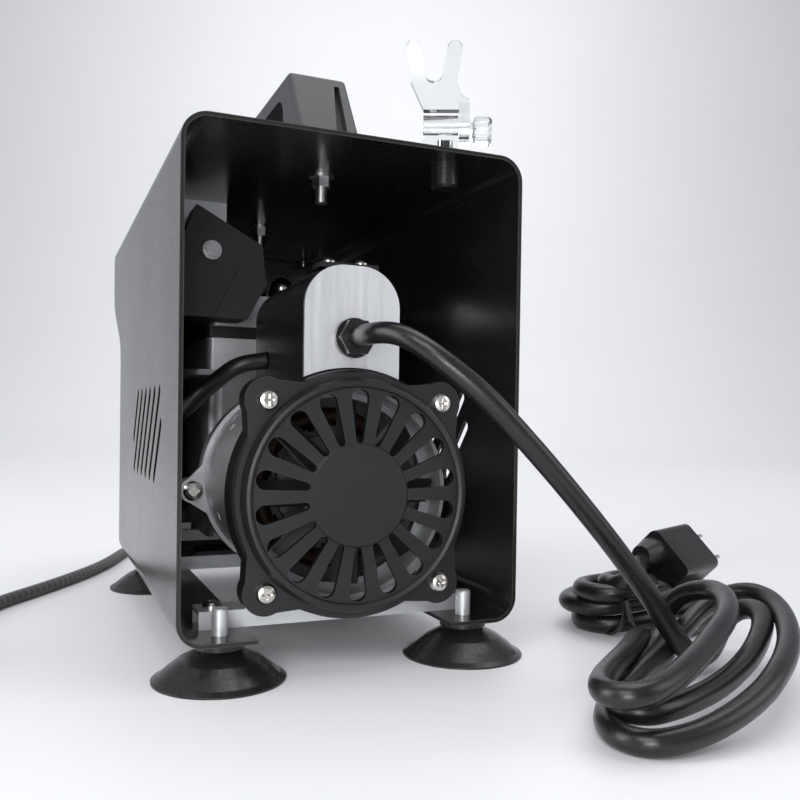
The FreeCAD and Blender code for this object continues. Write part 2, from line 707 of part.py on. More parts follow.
def make_crank_bearing():
    return ring(8.0, 4.0, V(0, 146.0, SHAFT_Z + THROW), Y, 8.0)


def make_connecting_rod():
    low = V(0, 146.5, SHAFT_Z + THROW)
    high = V(0, 146.5, SHAFT_Z + THROW + PIN_LIFT)
    big = rod(11.5, low, Y, 7.0)
    small = rod(5.6, high, Y, 7.0)
    shank = box(-4, 4, 147.5, 152.5, low.z, high.z)
    body = fuse([big, small, shank])
    return body.cut(rod(8.0 + RUN_FIT, low - Y * 2, Y, 12)).cut(rod(3.0, high - Y * 2, Y, 12))


def make_wrist_pin():
    return rod(3.0, V(0, CYL_Y - 8, SHAFT_Z + THROW + PIN_LIFT), Y, 16)


def make_piston():
    """Hollow piston at the top of its stroke, crown up."""
    crown_top = 113.2
    skirt_z = 90.0
    crown_low = crown_top - 4
    body = rod(BORE_R - RUN_FIT, V(0, CYL_Y, skirt_z), Z, crown_top - skirt_z)
    body = body.cut(rod(17.0, V(0, CYL_Y, skirt_z - 1), Z, crown_low - skirt_z + 1))
    return body.cut(ring(BORE_R + 2, 18.6, V(0, CYL_Y, 107.0), Z, 2.4))


def make_piston_ring():
    return ring(BORE_R - RUN_FIT, 18.65, V(0, CYL_Y, 107.1), Z, 2.2)


def make_cylinder():
    """Square cylinder block with a flat back."""
    block = square_plate(34.5, 100, 115, 3)
    return drill(block, [rod(BORE_R, V(0, CYL_Y, 95), Z, 30)])


def square_plate(half, z0, z1, bend):
    return round_along(box(-half, half, CYL_Y - half, CYL_Y + half, z0, z1), Z, bend)


HEAD_BOLT = 24.5


def head_bolt_spots(z):
    return [V(sx * HEAD_BOLT, CYL_Y + sy * HEAD_BOLT, z) for sx in (-1, 1) for sy in (-1, 1)]


def make_gasket():
    plate = square_plate(34.5, 115.0, 115.6, 3)
    tools = [rod(BORE_R, V(0, CYL_Y, 114), Z, 3)]
    tools += [rod(2.1, p, Z, 4) for p in head_bolt_spots(114)]
    return drill(plate, tools)


def make_valve_plate():
    plate = square_plate(35.5, 115.6, 120.6, 3)
    tools = [rod(3.0, V(x, CYL_Y, 114), Z, 8) for x in (-8, 8)]
    tools += [rod(2.1, p, Z, 8) for p in head_bolt_spots(114)]
    return drill(plate, tools)


def make_reeds():
    return [box(-14, -3, CYL_Y - 4, CYL_Y + 4, 120.6, 120.9), box(3, 14, CYL_Y - 4, CYL_Y + 4, 120.6, 120.9)]


def make_head():
    head = square_plate(33.5, 120.6, 136.0, 4)
    inner = box(-20, -1.5, CYL_Y - 18, CYL_Y + 18, 120.0, 130.0)
    other = box(1.5, 20, CYL_Y - 18, CYL_Y + 18, 120.0, 130.0)
    tools = [inner, other]
    for i in range(5):
        y = CYL_Y - 20 + 10 * i
        tools.append(box(-35, 35, y - 2.2, y + 2.2, 132.0, 138.0))
    tools += [rod(2.1, p, Z, 20) for p in head_bolt_spots(119)]
    tools.append(rod(4.0, V(10, CYL_Y, 126), Z, 14))
    tools.append(rod(4.0, V(-12, CYL_Y, 126), Z, 14))
    return drill(head, tools)


def make_head_bolts():
    bolts = []
    for p in head_bolt_spots(136.0):
        bolts.append(hexagon(7.0, p, Z, 3.6).fuse(rod(2.0, p - Z * 19, Z, 19)))
    return bolts


def make_intake_filter():
    base = V(-12, CYL_Y, 130.5)
    body = lathe([(0, 0), (3.9, 0), (3.9, 5.5), (9, 7), (9, 19), (7.5, 20.5), (0, 20.5)], base, Z)
    return body


def make_outlet_elbow():
    """Bright elbow in the head: a stem, a round body and a spigot towards the front."""
    stem = rod(3.9, V(10, CYL_Y, 130.5), Z, 12)
    ball = Part.makeSphere(6.0, V(10, CYL_Y, 145.0))
    nut = hexagon(11.0, V(10, CYL_Y, 136.0), Z, 4.0)
    spigot = rod(2.6, V(10, CYL_Y, 145.0), Y, 20)
    return fuse([stem, nut, ball, spigot])


AIR_ROUTE = [(10, CYL_Y + 20, 145), (10, 184, 145), (6, 195, 136), (-5, 197, 122), (-14, 195, 108),
             (REG_X, 194, 98), (REG_X, 194, INLET_Z + 6)]


# ---------------------------------------------------------------- pressure switch inside
TILT = 28.0               # the switch box hangs tilted, its right end lower
SWITCH_SPOT = V(-30.9, 92.0, 148.9)
SWITCH_HALF = 21.4


def tilted(shape):
    """Move a piece made in the switch box's own frame to its tilted place."""
    shape.rotate(V(0, 0, 0), Y, TILT)
    shape.translate(SWITCH_SPOT)
    return shape


def make_switch_box():
    low = tilted(box(-SWITCH_HALF, SWITCH_HALF, 0, 22, -40, 0))
    low = low.common(box(-50, 0, 90, 116, 122, 170))
    groove = tilted(box(6, 7.6, -1, 1.2, -40, -3))
    return low.cut(groove)


def make_switch_lid():
    outline = [(-SWITCH_HALF + 1, 0, 0), (SWITCH_HALF - 1, 0, 0), (11.4, 0, 13.4), (-22.0, 0, 13.4)]
    return tilted(prism(outline, V(0, 20, 0)))


def make_switch_bolt():
    centre = V(-37.2, 92.0, 151.4)
    washer = ring(4.2, 2.1, centre - Y * 0.8, Y, 0.8)
    nut = hexagon(6.0, centre - Y * 3.6, Y, 2.8)
    shank = rod(2.05, centre - Y * 5.4, Y, 5.4)
    return fuse([washer, nut, shank])


def make_switch_hanger():
    """A strap that hangs the switch box from the shell's top."""
    top = SHELL_H - SHEET
    return fuse([box(-48, -26, 118, 134, top - 1.5, top), box(-48, -26, 116.5, 118, 136, top)])


# ---------------------------------------------------------------- regulator
REG_R = 14.0


def make_panel_nipple():
    nipple = rod(5.0, V(REG_X, 197.0, INLET_Z), Y, 22.2)
    block = round_along(box(REG_X - 6, REG_X + 6, 188.5, 200.0, INLET_Z - 6, INLET_Z + 6), Y, 1.5)
    return nipple.fuse(block).removeSplitter()


def make_panel_nut():
    nut = hexagon(16.0, V(REG_X, 202.4, INLET_Z), Y, 5.0)
    return nut.cut(rod(5.0, V(REG_X, 200, INLET_Z), Y, 10))


def make_regulator_body():
    body = round_along(box(REG_X - REG_R, REG_X + REG_R, REG_Y - REG_R, REG_Y + REG_R, 74, 99), Z, 5)
    neck = rod(10.5, V(REG_X, REG_Y, 99), Z, 6)
    collar = rod(15.0, V(REG_X, REG_Y, 70), Z, 4.2)
    port = rod(6.5, V(REG_X + REG_R - 1, REG_Y, INLET_Z), X, 4)
    whole = fuse([body, neck, collar, port])
    tools = [rod(5.05, V(REG_X, 210, INLET_Z), Y, 10), rod(3.0, V(REG_X, REG_Y, 60), Z, 50),
             rod(4.1, V(REG_X + 4, REG_Y, INLET_Z), X, 20),
             rod(12.42, V(REG_X, REG_Y, 69), Z, 4)]
    return drill(whole, tools)


def make_regulator_knob():
    base = V(REG_X, REG_Y, 99.0 + GAP)
    knob = lathe([(10.8, 0), (13.5, 0), (13.5, 16), (12.3, 18.5), (0, 18.5), (0, 6.6), (10.8, 6.6)], base, Z)
    tools = []
    for i in range(24):
        flute = rod(0.9, base + V(14.0, 0, 1.5), Z, 13.5)
        flute.rotate(base, Z, 15 * i)
        tools.append(flute)
    pointer = box(REG_X - 0.6, REG_X + 0.6, REG_Y + 4, REG_Y + 11, base.z + 18.0, base.z + 19)
    return drill(knob, tools).cut(pointer)


def make_bowl():
    """Clear moisture bowl, hollow, screwed up into the regulator's collar."""
    base = V(REG_X, REG_Y, 32.0)
    return lathe([(2.6, 2.0), (2.6, -4.0), (6.0, -4.0), (6.0, 0), (8.5, 0), (12.4, 4), (12.4, 41.0),
                  (10.6, 41.0), (10.6, 5.0), (8.0, 2.0)], base, Z)


def make_drain_button():
    base = V(REG_X, REG_Y, 23.0)
    return lathe([(0, 0), (3.6, 0), (4.4, 0.8), (4.4, 2.2), (2.5, 2.2), (2.5, 11.0), (0, 11.0)], base, Z)


GAUGE_Z = 86.0
GAUGE_Y = REG_Y + REG_R


def make_gauge_case():
    start = V(REG_X, GAUGE_Y, GAUGE_Z)
    shape = [(0, 0), (5.0, 0), (5.0, 0.8), (13.6, 1.0), (14.6, 1.8), (14.6, 7.6), (13.2, 7.6), (13.2, 3.9),
             (1.1, 3.9), (1.1, 2.9), (0, 2.9)]
    return lathe(shape, start, Y)


def make_gauge_needle():
    hub = rod(1.5, V(0, GAUGE_Y + 4.3, 0), Y, 1.1)
    pivot = rod(0.9, V(0, GAUGE_Y + 3.45, 0), Y, 1.0)
    arm = box(-3.0, 10.2, GAUGE_Y + 4.5, GAUGE_Y + 5.0, -0.45, 0.45)
    needle = fuse([hub, pivot, arm])
    needle.rotate(V(0, 0, 0), Y, 45)
    needle.translate(V(REG_X, 0, GAUGE_Z))
    return needle


def make_gauge_lens():
    return rod(13.15, V(REG_X, GAUGE_Y + 6.2, GAUGE_Z), Y, 1.2)


# ---------------------------------------------------------------- outlet and hose
OUT_X = 17.0


def make_outlet_elbow_front():
    """Elbow from the regulator's side port down to the hose."""
    stem = rod(4.0, V(REG_X + REG_R + 1, REG_Y, INLET_Z), X, 20)
    nut = hexagon(13.0, V(REG_X + REG_R + 3.2, REG_Y, INLET_Z), X, 5.0)
    block = box(OUT_X - 5.5, OUT_X + 5.5, REG_Y - 5.5, REG_Y + 5.5, 80.5, 93.0)
    block = block.makeFillet(1.5, block.Edges)
    spout = rod(3.4, V(OUT_X, REG_Y, 66.0), Z, 15.5)
    collar = rod(5.0, V(OUT_X, REG_Y, 70.2), Z, 1.6)
    body = fuse([stem, nut, block, spout, collar])
    return body


def make_hose_nut():
    nut = hexagon(12.0, V(OUT_X, REG_Y, 71.8 + GAP), Z, 7.6)
    return nut.cut(rod(3.4 + RUN_FIT, V(OUT_X, REG_Y, 60), Z, 30))


HOSE_TOP = 66.0
HOSE_Z = FLOOR + HOSE_D / 2 + 0.1
HOSE_ROUTE = [(OUT_X, REG_Y, HOSE_TOP), (OUT_X, REG_Y, 48), (OUT_X, REG_Y + 3.0, 24),
              (OUT_X + 2, REG_Y + 15, 1), (OUT_X + 3, REG_Y + 33, HOSE_Z), (OUT_X + 3, REG_Y + 55, HOSE_Z),
              (OUT_X - 8.6, REG_Y + 73.7, HOSE_Z), (OUT_X - 28.3, REG_Y + 83.5, HOSE_Z),
              (OUT_X - 50.2, REG_Y + 81.5, HOSE_Z), (OUT_X - 67.8, REG_Y + 68.3, HOSE_Z),
              (-60, 274, HOSE_Z), (-70, 245, HOSE_Z), (-84, 216, HOSE_Z), (-105, 181, HOSE_Z),
              (-127, 149, HOSE_Z), (-139, 118, HOSE_Z), (-141, 92, HOSE_Z)]
HOSE_COIL = (-176.0, 74.0)
HOSE_COIL_MID = 33.0


def make_hose_coil():
    half = 10.5
    body = ring(HOSE_COIL_MID + half, HOSE_COIL_MID - half, V(HOSE_COIL[0], HOSE_COIL[1], FLOOR), Z, 19.0)
    return body


def make_hose_end():
    """Female end fitting of the hose, beside the coil, its socket towards the front."""
    start = V(HOSE_COIL[0] - 36.5, HOSE_COIL[1] + 30, FLOOR + 6.6)
    ferrule = rod(4.2, start, Y, 13)
    nut = hexagon(12.6, start + Y * 13, Y, 12)
    return fuse([ferrule, nut]).cut(rod(4.2, start + Y * 17, Y, 10))


# ---------------------------------------------------------------- rocker switch
def make_rocker_frame():
    front = SHELL_D - PANEL_IN
    bezel = round_along(box(ROCKER_X - 11, ROCKER_X + 11, front, front + 1.0, ROCKER_Z - 8, ROCKER_Z + 8),
                        Y, 1.2)
    body = box(ROCKER_X - 9.5, ROCKER_X + 9.5, front - 17, front + 0.5, ROCKER_Z - 6.5, ROCKER_Z + 6.5)
    pocket = box(ROCKER_X - 8.4, ROCKER_X + 8.4, front - 7, front + 2, ROCKER_Z - 5.2, ROCKER_Z + 5.2)
    return bezel.fuse(body).removeSplitter().cut(pocket)


ROCKER_PIVOT_Y = SHELL_D - PANEL_IN - 2.6


def make_rocker():
    """Rocker cap: two flat halves that meet at a shallow angle over the pivot."""
    half = 7.7
    low = ROCKER_PIVOT_Y - 1.2
    outline = [(-half, low), (half, low), (half, ROCKER_PIVOT_Y + 1.6), (0, ROCKER_PIVOT_Y + 0.4),
               (-half, ROCKER_PIVOT_Y + 1.6)]
    cap = prism([(ROCKER_X + x, y, ROCKER_Z - 4.8) for x, y in outline], V(0, 0, 9.6))
    trunnion = rod(1.0, V(ROCKER_X, ROCKER_PIVOT_Y, ROCKER_Z - 5.1), Z, 10.2)
    return cap.fuse(trunnion)


# ---------------------------------------------------------------- airbrush holder
PIVOT_Z = SHELL_H + 11.0
HOLDER_TURN = -25.0       # the holder is swivelled towards the left of the open back
LUG_X = (5.3, 9.3)        # the fork's lug, beside the block
FORK_MID = -4.7           # middle of the fork, measured from the stud
FORK_T = 4.0


def at_holder(shape):
    """Move a holder piece, made round the stud's axis, to its place on the shell."""
    shape.rotate(V(0, 0, 0), Z, HOLDER_TURN)
    shape.translate(V(HOLDER_X, HOLDER_Y, 0))
    return shape


def make_holder_bush():
    """Bush through the shell's top with the stud that the holder turns on."""
    low = SHELL_H - SHEET - 10.0
    return lathe([(0, 0), (4.5, 0), (5.5, 1.0), (5.5, 10.0), (5.0, 10.0), (5.0, 11.5), (3.0, 11.5),
                  (3.0, 18.0), (0, 18.0)], V(HOLDER_X, HOLDER_Y, low), Z)


def make_holder_block():
    base = SHELL_H + GAP
    block = box(-8.5, 5.0, -6.0, 6.0, base, PIVOT_Z)
    block = block.fuse(rod(6.0, V(-8.5, 0, PIVOT_Z), X, 13.5)).removeSplitter()
    block = block.cut(rod(3.0 + RUN_FIT, V(0, 0, SHELL_H - 2), Z, 8.7))
    return at_holder(block.cut(rod(2.1, V(-12, 0, PIVOT_Z), X, 30)))


def make_holder_fork():
    """Clear fork: a flat two-pronged plate over the block, on a lug beside it."""
    crotch_z = SHELL_H + 30.0
    tip_z = SHELL_H + 46.0
    low_z = SHELL_H + 19.0
    gap_low, gap_top = 3.65, 5.35
    wide_low, wide_top = 8.9, 11.2
    left = [(-8.5, low_z), (FORK_MID - wide_low, crotch_z), (FORK_MID - wide_top, tip_z - 2),
            (FORK_MID - wide_top + 1.6, tip_z), (FORK_MID - gap_top - 1.2, tip_z),
            (FORK_MID - gap_top, tip_z - 2)]
    right = [(FORK_MID + gap_top, tip_z - 2), (FORK_MID + gap_top + 1.2, tip_z),
             (FORK_MID + wide_top - 1.6, tip_z), (FORK_MID + wide_top, tip_z - 2),
             (FORK_MID + wide_low, crotch_z), (6.2, crotch_z - 5), (LUG_X[1], crotch_z - 7),
             (LUG_X[1], low_z)]
    steps = 8
    for i in range(steps + 1):
        a = math.pi + math.pi * i / steps
        left.append((FORK_MID + gap_low * math.cos(a), crotch_z + gap_low + gap_low * math.sin(a)))
    blade = prism([(x, -FORK_T / 2, z) for x, z in left + right], V(0, FORK_T, 0))
    lug = rod(6.0, V(LUG_X[0], 0, PIVOT_Z), X, LUG_X[1] - LUG_X[0])
    neck = prism([(LUG_X[0], -6.0, PIVOT_Z), (LUG_X[0], 6.0, PIVOT_Z), (LUG_X[0], FORK_T / 2, crotch_z - 8),
                  (LUG_X[0], -FORK_T / 2, crotch_z - 8)], V(LUG_X[1] - LUG_X[0], 0, 0))
    fork = fuse([blade, lug, neck])
    return at_holder(fork.cut(rod(2.1, V(-12, 0, PIVOT_Z), X, 30)))


def make_holder_knob():
    """Clamp knob and its screw, which is the fork's pivot."""
    start = LUG_X[1] + GAP
    screw = rod(2.0, V(-8.2, 0, PIVOT_Z), X, start + 9.0)
    head = lathe([(0, 0), (3.4, 0), (3.4, 1.2), (5.2, 1.6), (5.6, 2.4), (5.6, 7.4), (4.8, 8.4), (0, 8.4)],
                 V(start, 0, PIVOT_Z), X)
    tools = []
    for i in range(10):
        groove = rod(0.7, V(start + 1.4, 0, PIVOT_Z + 5.9), X, 14)
        groove.rotate(V(0, 0, PIVOT_Z), X, 36 * i)
        tools.append(groove)
    return at_holder(drill(fuse([screw, head]), tools))


# ---------------------------------------------------------------- cords
EXIT_Y = BOX_Y[0] - 6.6
CORD_ROUTE = [(0, EXIT_Y, GLAND_Z), (-1, -9, 108.3), (4.2, -19.5, 108), (10, -28, 103.5), (17, -33.5, 97),
              (28.2, -38.2, 87.5), (42, -40.3, 73.8), (56, -41, 59.8), (71, -41.5, 44), (84, -42, 29.5),
              (96.5, -43, 14), (104.5, -44.5, 1.5)]
LOOPS_CENTRE = (98.7, -65.2)
LOOPS_HEADING = 27.8
HANK_CENTRE = (155.0, 35.0)
HANK_HEADING = 14.5
SMALL_RING_CENTRE = (128.0, 19.3)
WIRE_ROUTE = [(-BOX_HALF - 0.5, 66, WIRE_HOLE_Z), (-31, 67, 100), (-43, 76, 89), (-50, 92, 79),
              (-52, 112, 78), (-52, 134, 87), (-52, 156, 102), (-51, 178, 120), (-47, 200, 138),
              (-41, 219, 152), (-37, 233, 158)]


def make_cord_loops():
    """The heap of loops behind the shell: flat on its left, rising to its right."""
    body = oval_ring(LOOPS_CENTRE, 68, 30.5, 40, 9.5, LOOPS_HEADING, FLOOR, 50)
    slope = prism([(-90, -50, 4.5), (90, -50, 25.7), (90, -50, 60), (-90, -50, 60)], V(0, 100, 0))
    slope.rotate(V(0, 0, 0), Z, LOOPS_HEADING)
    slope.translate(V(LOOPS_CENTRE[0], LOOPS_CENTRE[1], 0))
    return body.cut(slope)


def make_cord_hank():
    """The tied hank: two long turns, a small turn on their left end and the strand from the loops."""
    long_turns = oval_ring(HANK_CENTRE, 48, 23.5, 37, 9.5, HANK_HEADING, FLOOR, 15.4)
    small_turn = oval_ring(SMALL_RING_CENTRE, 20.5, 16, 9, 5, HANK_HEADING, FLOOR + 15, 8.2)
    start = V(104, -25, FLOOR + CORD_D / 2 + 0.1)
    along = V(36, 33, 0)
    strand = rod(CORD_D / 2, start, along, along.Length)
    return fuse([long_turns, small_turn, strand]).removeSplitter()


PLUG_AT = V(178.5, 30.0, 16.2)
PLUG_HEADING = 20.0
PLUG_PITCH = 2.0
PLUG_ROLL = -45.0
PLUG_LONG = 28.0
PLUG_HALF_WIDE = 9.0
PLUG_HALF_HIGH = 12.5
NECK_UP = 5.0
NECK_LONG = 10.0
BLADE_PITCH = 12.7


def plug_frame(shape):
    """Move a plug piece, made along +x with its face at x = 0, to where it lies."""
    shape.rotate(V(0, 0, 0), X, PLUG_ROLL)
    shape.rotate(V(0, 0, 0), Y, -PLUG_PITCH)
    shape.rotate(V(0, 0, 0), Z, PLUG_HEADING)
    shape.translate(PLUG_AT)
    return shape


def make_plug_body():
    body = box(-PLUG_LONG, 0, -PLUG_HALF_WIDE, PLUG_HALF_WIDE, -PLUG_HALF_HIGH, PLUG_HALF_HIGH)
    body = body.makeFillet(3.4, edges_along(body, X))
    neck = cone(CORD_D / 2 + 0.7, 7.4, V(-PLUG_LONG - NECK_LONG, 0, NECK_UP), X, NECK_LONG + 0.2)
    body = body.fuse(neck).removeSplitter()
    return plug_frame(body)


def make_plug_blades():
    blades = []
    for side in (-1, 1):
        z = side * BLADE_PITCH / 2
        blade = box(-6, 15.5, -3.1, 3.1, z - 0.75, z + 0.75)
        blades.append(plug_frame(blade))
    return blades


def make_twist_tie():
    """Wire band round the hank's near strands, a twisted knot in front and its tail on the floor."""
    spot = V(120.0, 16.0, FLOOR + 12.2)
    band = ring(12.0, 11.0, spot, X, 1.6)
    knot = rod(1.1, spot + V(0.8, -12.4, 5), V(0.1, -0.3, -1), 9)
    tail = rod(0.6, spot + V(1.6, -14.8, -3), V(0.25, -0.7, -0.75), 11)
    return fuse([band, knot, tail])


# ---------------------------------------------------------------- write every node
def main():
    os.makedirs("parts", exist_ok=True)
    save("shell", make_shell())
    save("front_panel", make_front_panel())
    save("handle", make_handle())
    save("suction_feet", make_feet())
    save("foot_studs", make_foot_studs())
    save("cross_bars", [cross_bar(BAR_YS[0], True), cross_bar(BAR_YS[1], False)])
    save("isolators", make_isolators())
    save("motor_can", make_motor_can())
    save("fan_cover", make_fan_cover())
    save("stator_core", make_stator_core())
    save("stator_windings", make_windings())
    save("rear_bell", make_rear_bell())
    save("shaft_bearings", [ball_bearing(27.0, SHAFT_R + RUN_FIT), ball_bearing(118.2, SHAFT_R + RUN_FIT)])
    save("rotor", [make_shaft(), make_rotor_core()])
    save("cooling_fan", make_fan())
    save("terminal_face", make_terminal_face())
    save("terminal_cover", make_terminal_cover())
    save("capacitor", make_capacitor())
    save("cord_gland", make_gland())
    save("crankcase", make_crankcase())
    save("case_cover", make_case_cover())
    save("crank", make_crank())
    save("connecting_rod", make_connecting_rod())
    save("rod_bearings", [make_crank_bearing(), make_wrist_pin()])
    save("piston", [make_piston(), make_piston_ring()])
    save("cylinder", make_cylinder())
    save("valve_plate", [make_gasket(), make_valve_plate()] + make_reeds())
    save("cylinder_head", make_head())
    save("pan_screws", make_panel_screws() + make_bar_screws() + make_can_screws() + make_cover_screws()
         + make_ridge_screws() + make_case_cover_screws())
    save("hex_bolts", make_handle_bolts() + make_handle_nuts() + make_isolator_bolts() + make_head_bolts()
         + [make_switch_bolt()])
    save("intake_filter", make_intake_filter())
    save("air_fittings", [make_outlet_elbow(), make_panel_nipple(), make_panel_nut()])
    save("inner_air_tube", rounded_route(AIR_ROUTE, 3.0, "inner air tube"))
    save("switch_box", [make_switch_box(), make_switch_lid()])
    save("switch_hanger", make_switch_hanger())
    save("wire_sleeve", rounded_route(WIRE_ROUTE, 3.5, "wire sleeve"))
    save("regulator_body", make_regulator_body())
    save("regulator_knob", make_regulator_knob())
    save("moisture_bowl", make_bowl())
    save("drain_button", make_drain_button())
    save("gauge_case", make_gauge_case())
    save("gauge_needle", make_gauge_needle())
    save("gauge_lens", make_gauge_lens())
    save("outlet_fitting", make_outlet_elbow_front())
    save("hose_nut", make_hose_nut())
    save("air_hose", rounded_route(HOSE_ROUTE, HOSE_D / 2, "air hose"))
    save("hose_coil", make_hose_coil())
    save("hose_end", make_hose_end())
    save("rocker_frame", make_rocker_frame())
    save("power_rocker", make_rocker())
    save("holder_bush", make_holder_bush())
    save("holder_block", make_holder_block())
    save("holder_fork", make_holder_fork())
    save("holder_knob", make_holder_knob())
    save("power_cord", rounded_route(CORD_ROUTE, CORD_D / 2, "power cord"))
    save("cord_loops", make_cord_loops())
    save("cord_hank", make_cord_hank())
    save("plug_body", make_plug_body())
    save("plug_blades", make_plug_blades())
    save("twist_tie", make_twist_tie())


main()
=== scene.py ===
import math

import bmesh
import bpy
from mathutils import Matrix, Vector


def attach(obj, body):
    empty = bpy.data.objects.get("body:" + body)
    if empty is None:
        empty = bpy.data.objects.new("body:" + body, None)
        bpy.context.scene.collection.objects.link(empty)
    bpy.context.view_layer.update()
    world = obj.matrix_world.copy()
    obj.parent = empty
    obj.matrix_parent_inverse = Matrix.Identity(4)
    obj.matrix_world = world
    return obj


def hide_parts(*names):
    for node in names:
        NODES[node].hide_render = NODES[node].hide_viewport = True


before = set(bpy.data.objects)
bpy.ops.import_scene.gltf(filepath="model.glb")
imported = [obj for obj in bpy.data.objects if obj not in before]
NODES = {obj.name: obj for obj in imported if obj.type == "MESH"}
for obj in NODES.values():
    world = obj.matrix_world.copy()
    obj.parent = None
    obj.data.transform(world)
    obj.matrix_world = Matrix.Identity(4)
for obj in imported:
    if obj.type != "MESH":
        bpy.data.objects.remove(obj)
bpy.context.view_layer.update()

# The CAD working frame, in millimetres, has y = 0 at the open back edge of the shell and z = 0 at
# its underside. The row frame is moved by this much.
SHIFT = Vector((0.0, -121.75, 14.0))
CORD_D = 7.7
HOSE_D = 6.0


def row(x, y, z):
    """A point of the working frame, in millimetres, as a point of the row frame, in metres."""
    return (Vector((x, y, z)) + SHIFT) / 1000.0


# ------------------------------------------------------------------------------- camera
CAMERA_AT = (-0.108219, -0.410792, 0.093206)
CAMERA_RIGHT = Vector((0.920061, -0.391511, 0.014352))
CAMERA_UP = Vector((-0.007079, 0.020016, 0.999775))
CAMERA_LENS = 38.527
CAMERA_SHIFT_Y = 0.0375


def make_camera():
    """The camera behind the object and to its left, at about the height of the motor."""
    back = CAMERA_RIGHT.cross(CAMERA_UP).normalized()
    data = bpy.data.cameras.new("camera")
    data.lens = CAMERA_LENS
    data.shift_y = CAMERA_SHIFT_Y
    camera = bpy.data.objects.new("camera", data)
    bpy.context.scene.collection.objects.link(camera)
    turn = Matrix((CAMERA_RIGHT, CAMERA_UP, back)).transposed().to_4x4()
    camera.matrix_world = Matrix.Translation(CAMERA_AT) @ turn
    bpy.context.scene.camera = camera


make_camera()


# ------------------------------------------------------------------------------- cords
def spline_curve(name, points, radius):
    """One open NURBS spline through its control polygon's leg middles, with a round section.

    The bevel is 1 m deep and each point's own radius scales it down. A curve's bounds are taken
    from those radii, so this keeps the bounds at the tube's real size. A radius of 0 gives a bare
    line.
    """
    data = bpy.data.curves.new(name, "CURVE")
    data.dimensions = "3D"
    data.resolution_u = 8
    data.bevel_depth = 1.0 if radius else 0.0
    data.bevel_resolution = 6
    data.use_fill_caps = True
    spline = data.splines.new("NURBS")
    spline.points.add(len(points) - 1)
    for target, p in zip(spline.points, points):
        target.co = (*p, 1.0)
        target.radius = radius
    spline.order_u = 3
    spline.use_endpoint_u = True
    made = bpy.data.objects.new(name, data)
    bpy.context.scene.collection.objects.link(made)
    return made


def line_of(points):
    """The NURBS line's own points, read from a curve with no bevel."""
    probe = spline_curve("probe", points, 0.0)
    bpy.context.view_layer.update()
    mesh = bpy.data.meshes.new_from_object(probe)
    found = [v.co.copy() for v in mesh.vertices]
    bpy.data.objects.remove(probe)
    bpy.data.meshes.remove(mesh)
    return found


def length_of(line):
    return sum((b - a).length for a, b in zip(line, line[1:]))


def smooth(t):
    t = min(max(t, 0.0), 1.0)
    return t * t * (3 - 2 * t)


CORD_DOWN = [(0, 4.4, 108), (-1, -9, 108.3), (4.2, -19.5, 108), (10, -28, 103.5), (17, -33.5, 97),
             (28.2, -38.2, 87.5), (42, -40.3, 73.8), (56, -41, 59.8), (71, -41.5, 44),
             (84, -42, 29.5), (96.5, -43, 14), (104.5, -44.5, 1.5)]
# A low turn inside the loops, hidden by the top loop, up into the middle loop's right end.
CORD_UNDER = [(111, -46, -6), (119, -45, -7.5), (127.5, -41, -4), (134.5, -37, 2), (140, -38, 6.5),
              (142, -43.5, 8.5)]
LOOP_MIDDLE = [(139.5, -51, 8.5), (133.5, -58, 6), (124, -65, 2.5), (113.5, -71.5, 0),
               (103, -76, -3), (90.5, -81, -5), (77, -86, -5.5), (64, -90, -5.5),
               (55.5, -91, -5.5), (50, -86.5, -5.2), (52.5, -80, -5.2), (60, -73.5, -5.5),
               (70, -66, -5.5), (84.5, -55, -5.5), (100.5, -43, -5.5), (113, -33.5, -5),
               (125.5, -26.5, -1.5), (137, -22.5, 4), (147, -24, 9)]
LOOP_OUTER = [(152, -31.5, 12), (153, -40.5, 11.5), (147.5, -52.5, 9.5), (134.5, -68.5, 7),
              (119, -82.5, 4), (101, -94, 0.5), (88.5, -99, -3), (73.5, -102.5, -6.5),
              (60, -103.5, -9), (48, -101.5, -10), (43.5, -93, -10.1), (47, -82, -10.1),
              (57, -70, -10.1), (75, -53.5, -10.1), (96, -36.5, -10.1), (110.5, -26.5, -9),
              (119, -20.5, -3.5), (122, -20, 4.5), (123.5, -26, 11.5)]
LOOP_TOP = [(125.5, -35.5, 15.3), (124.5, -46, 16.5), (116.5, -58.5, 15), (103, -71, 13),
            (92.5, -77.5, 10.8), (82, -84, 8.5), (70, -91, 6.8), (58, -97, 5), (47.5, -100.5, 3.8),
            (40.5, -98.5, 3.2), (38.5, -91.5, 2.8), (46, -81, 2.2), (62, -66, 0.8),
            (84, -45.5, -1.5)]
CORD_ON = [(104, -25, -3.5), (117, -13, -6.5), (132, -4, -9.5), (152, 1, -10.1), (171, 8, -10.1),
           (188, 19.5, -10.1), (195.5, 32, -10.1)]
HANK_HEADING = math.radians(14.5)
# One row per turn of the hank: half length, half width, centre, height.
HANK_TURNS = [(40, 18.5, 155, 33, -10.1), (44, 19, 153.5, 36.5, -2.4), (17, 13, 128, 19.3, 5.3),
              (10, 8, 129.5, 14, 8.5)]
# From the left end of the small last turn, up into the plug's neck.
HANK_END = [(120, 6, 10.5), (123.5, 3.2, 11.5), (128.5, 5.5, 12.8), (132.5, 11, 14),
            (137.2, 17.2, 15.2), (142.8, 20.6, 16.2)]
HANK_TURN_COUNT = len(HANK_TURNS) - 0.5
# A turn keeps its own size up to here, then eases into the next row's.
HANK_EASE_START = 0.5
# Below 1 the turns are squarer than an ellipse.
HANK_SQUARENESS = 0.85


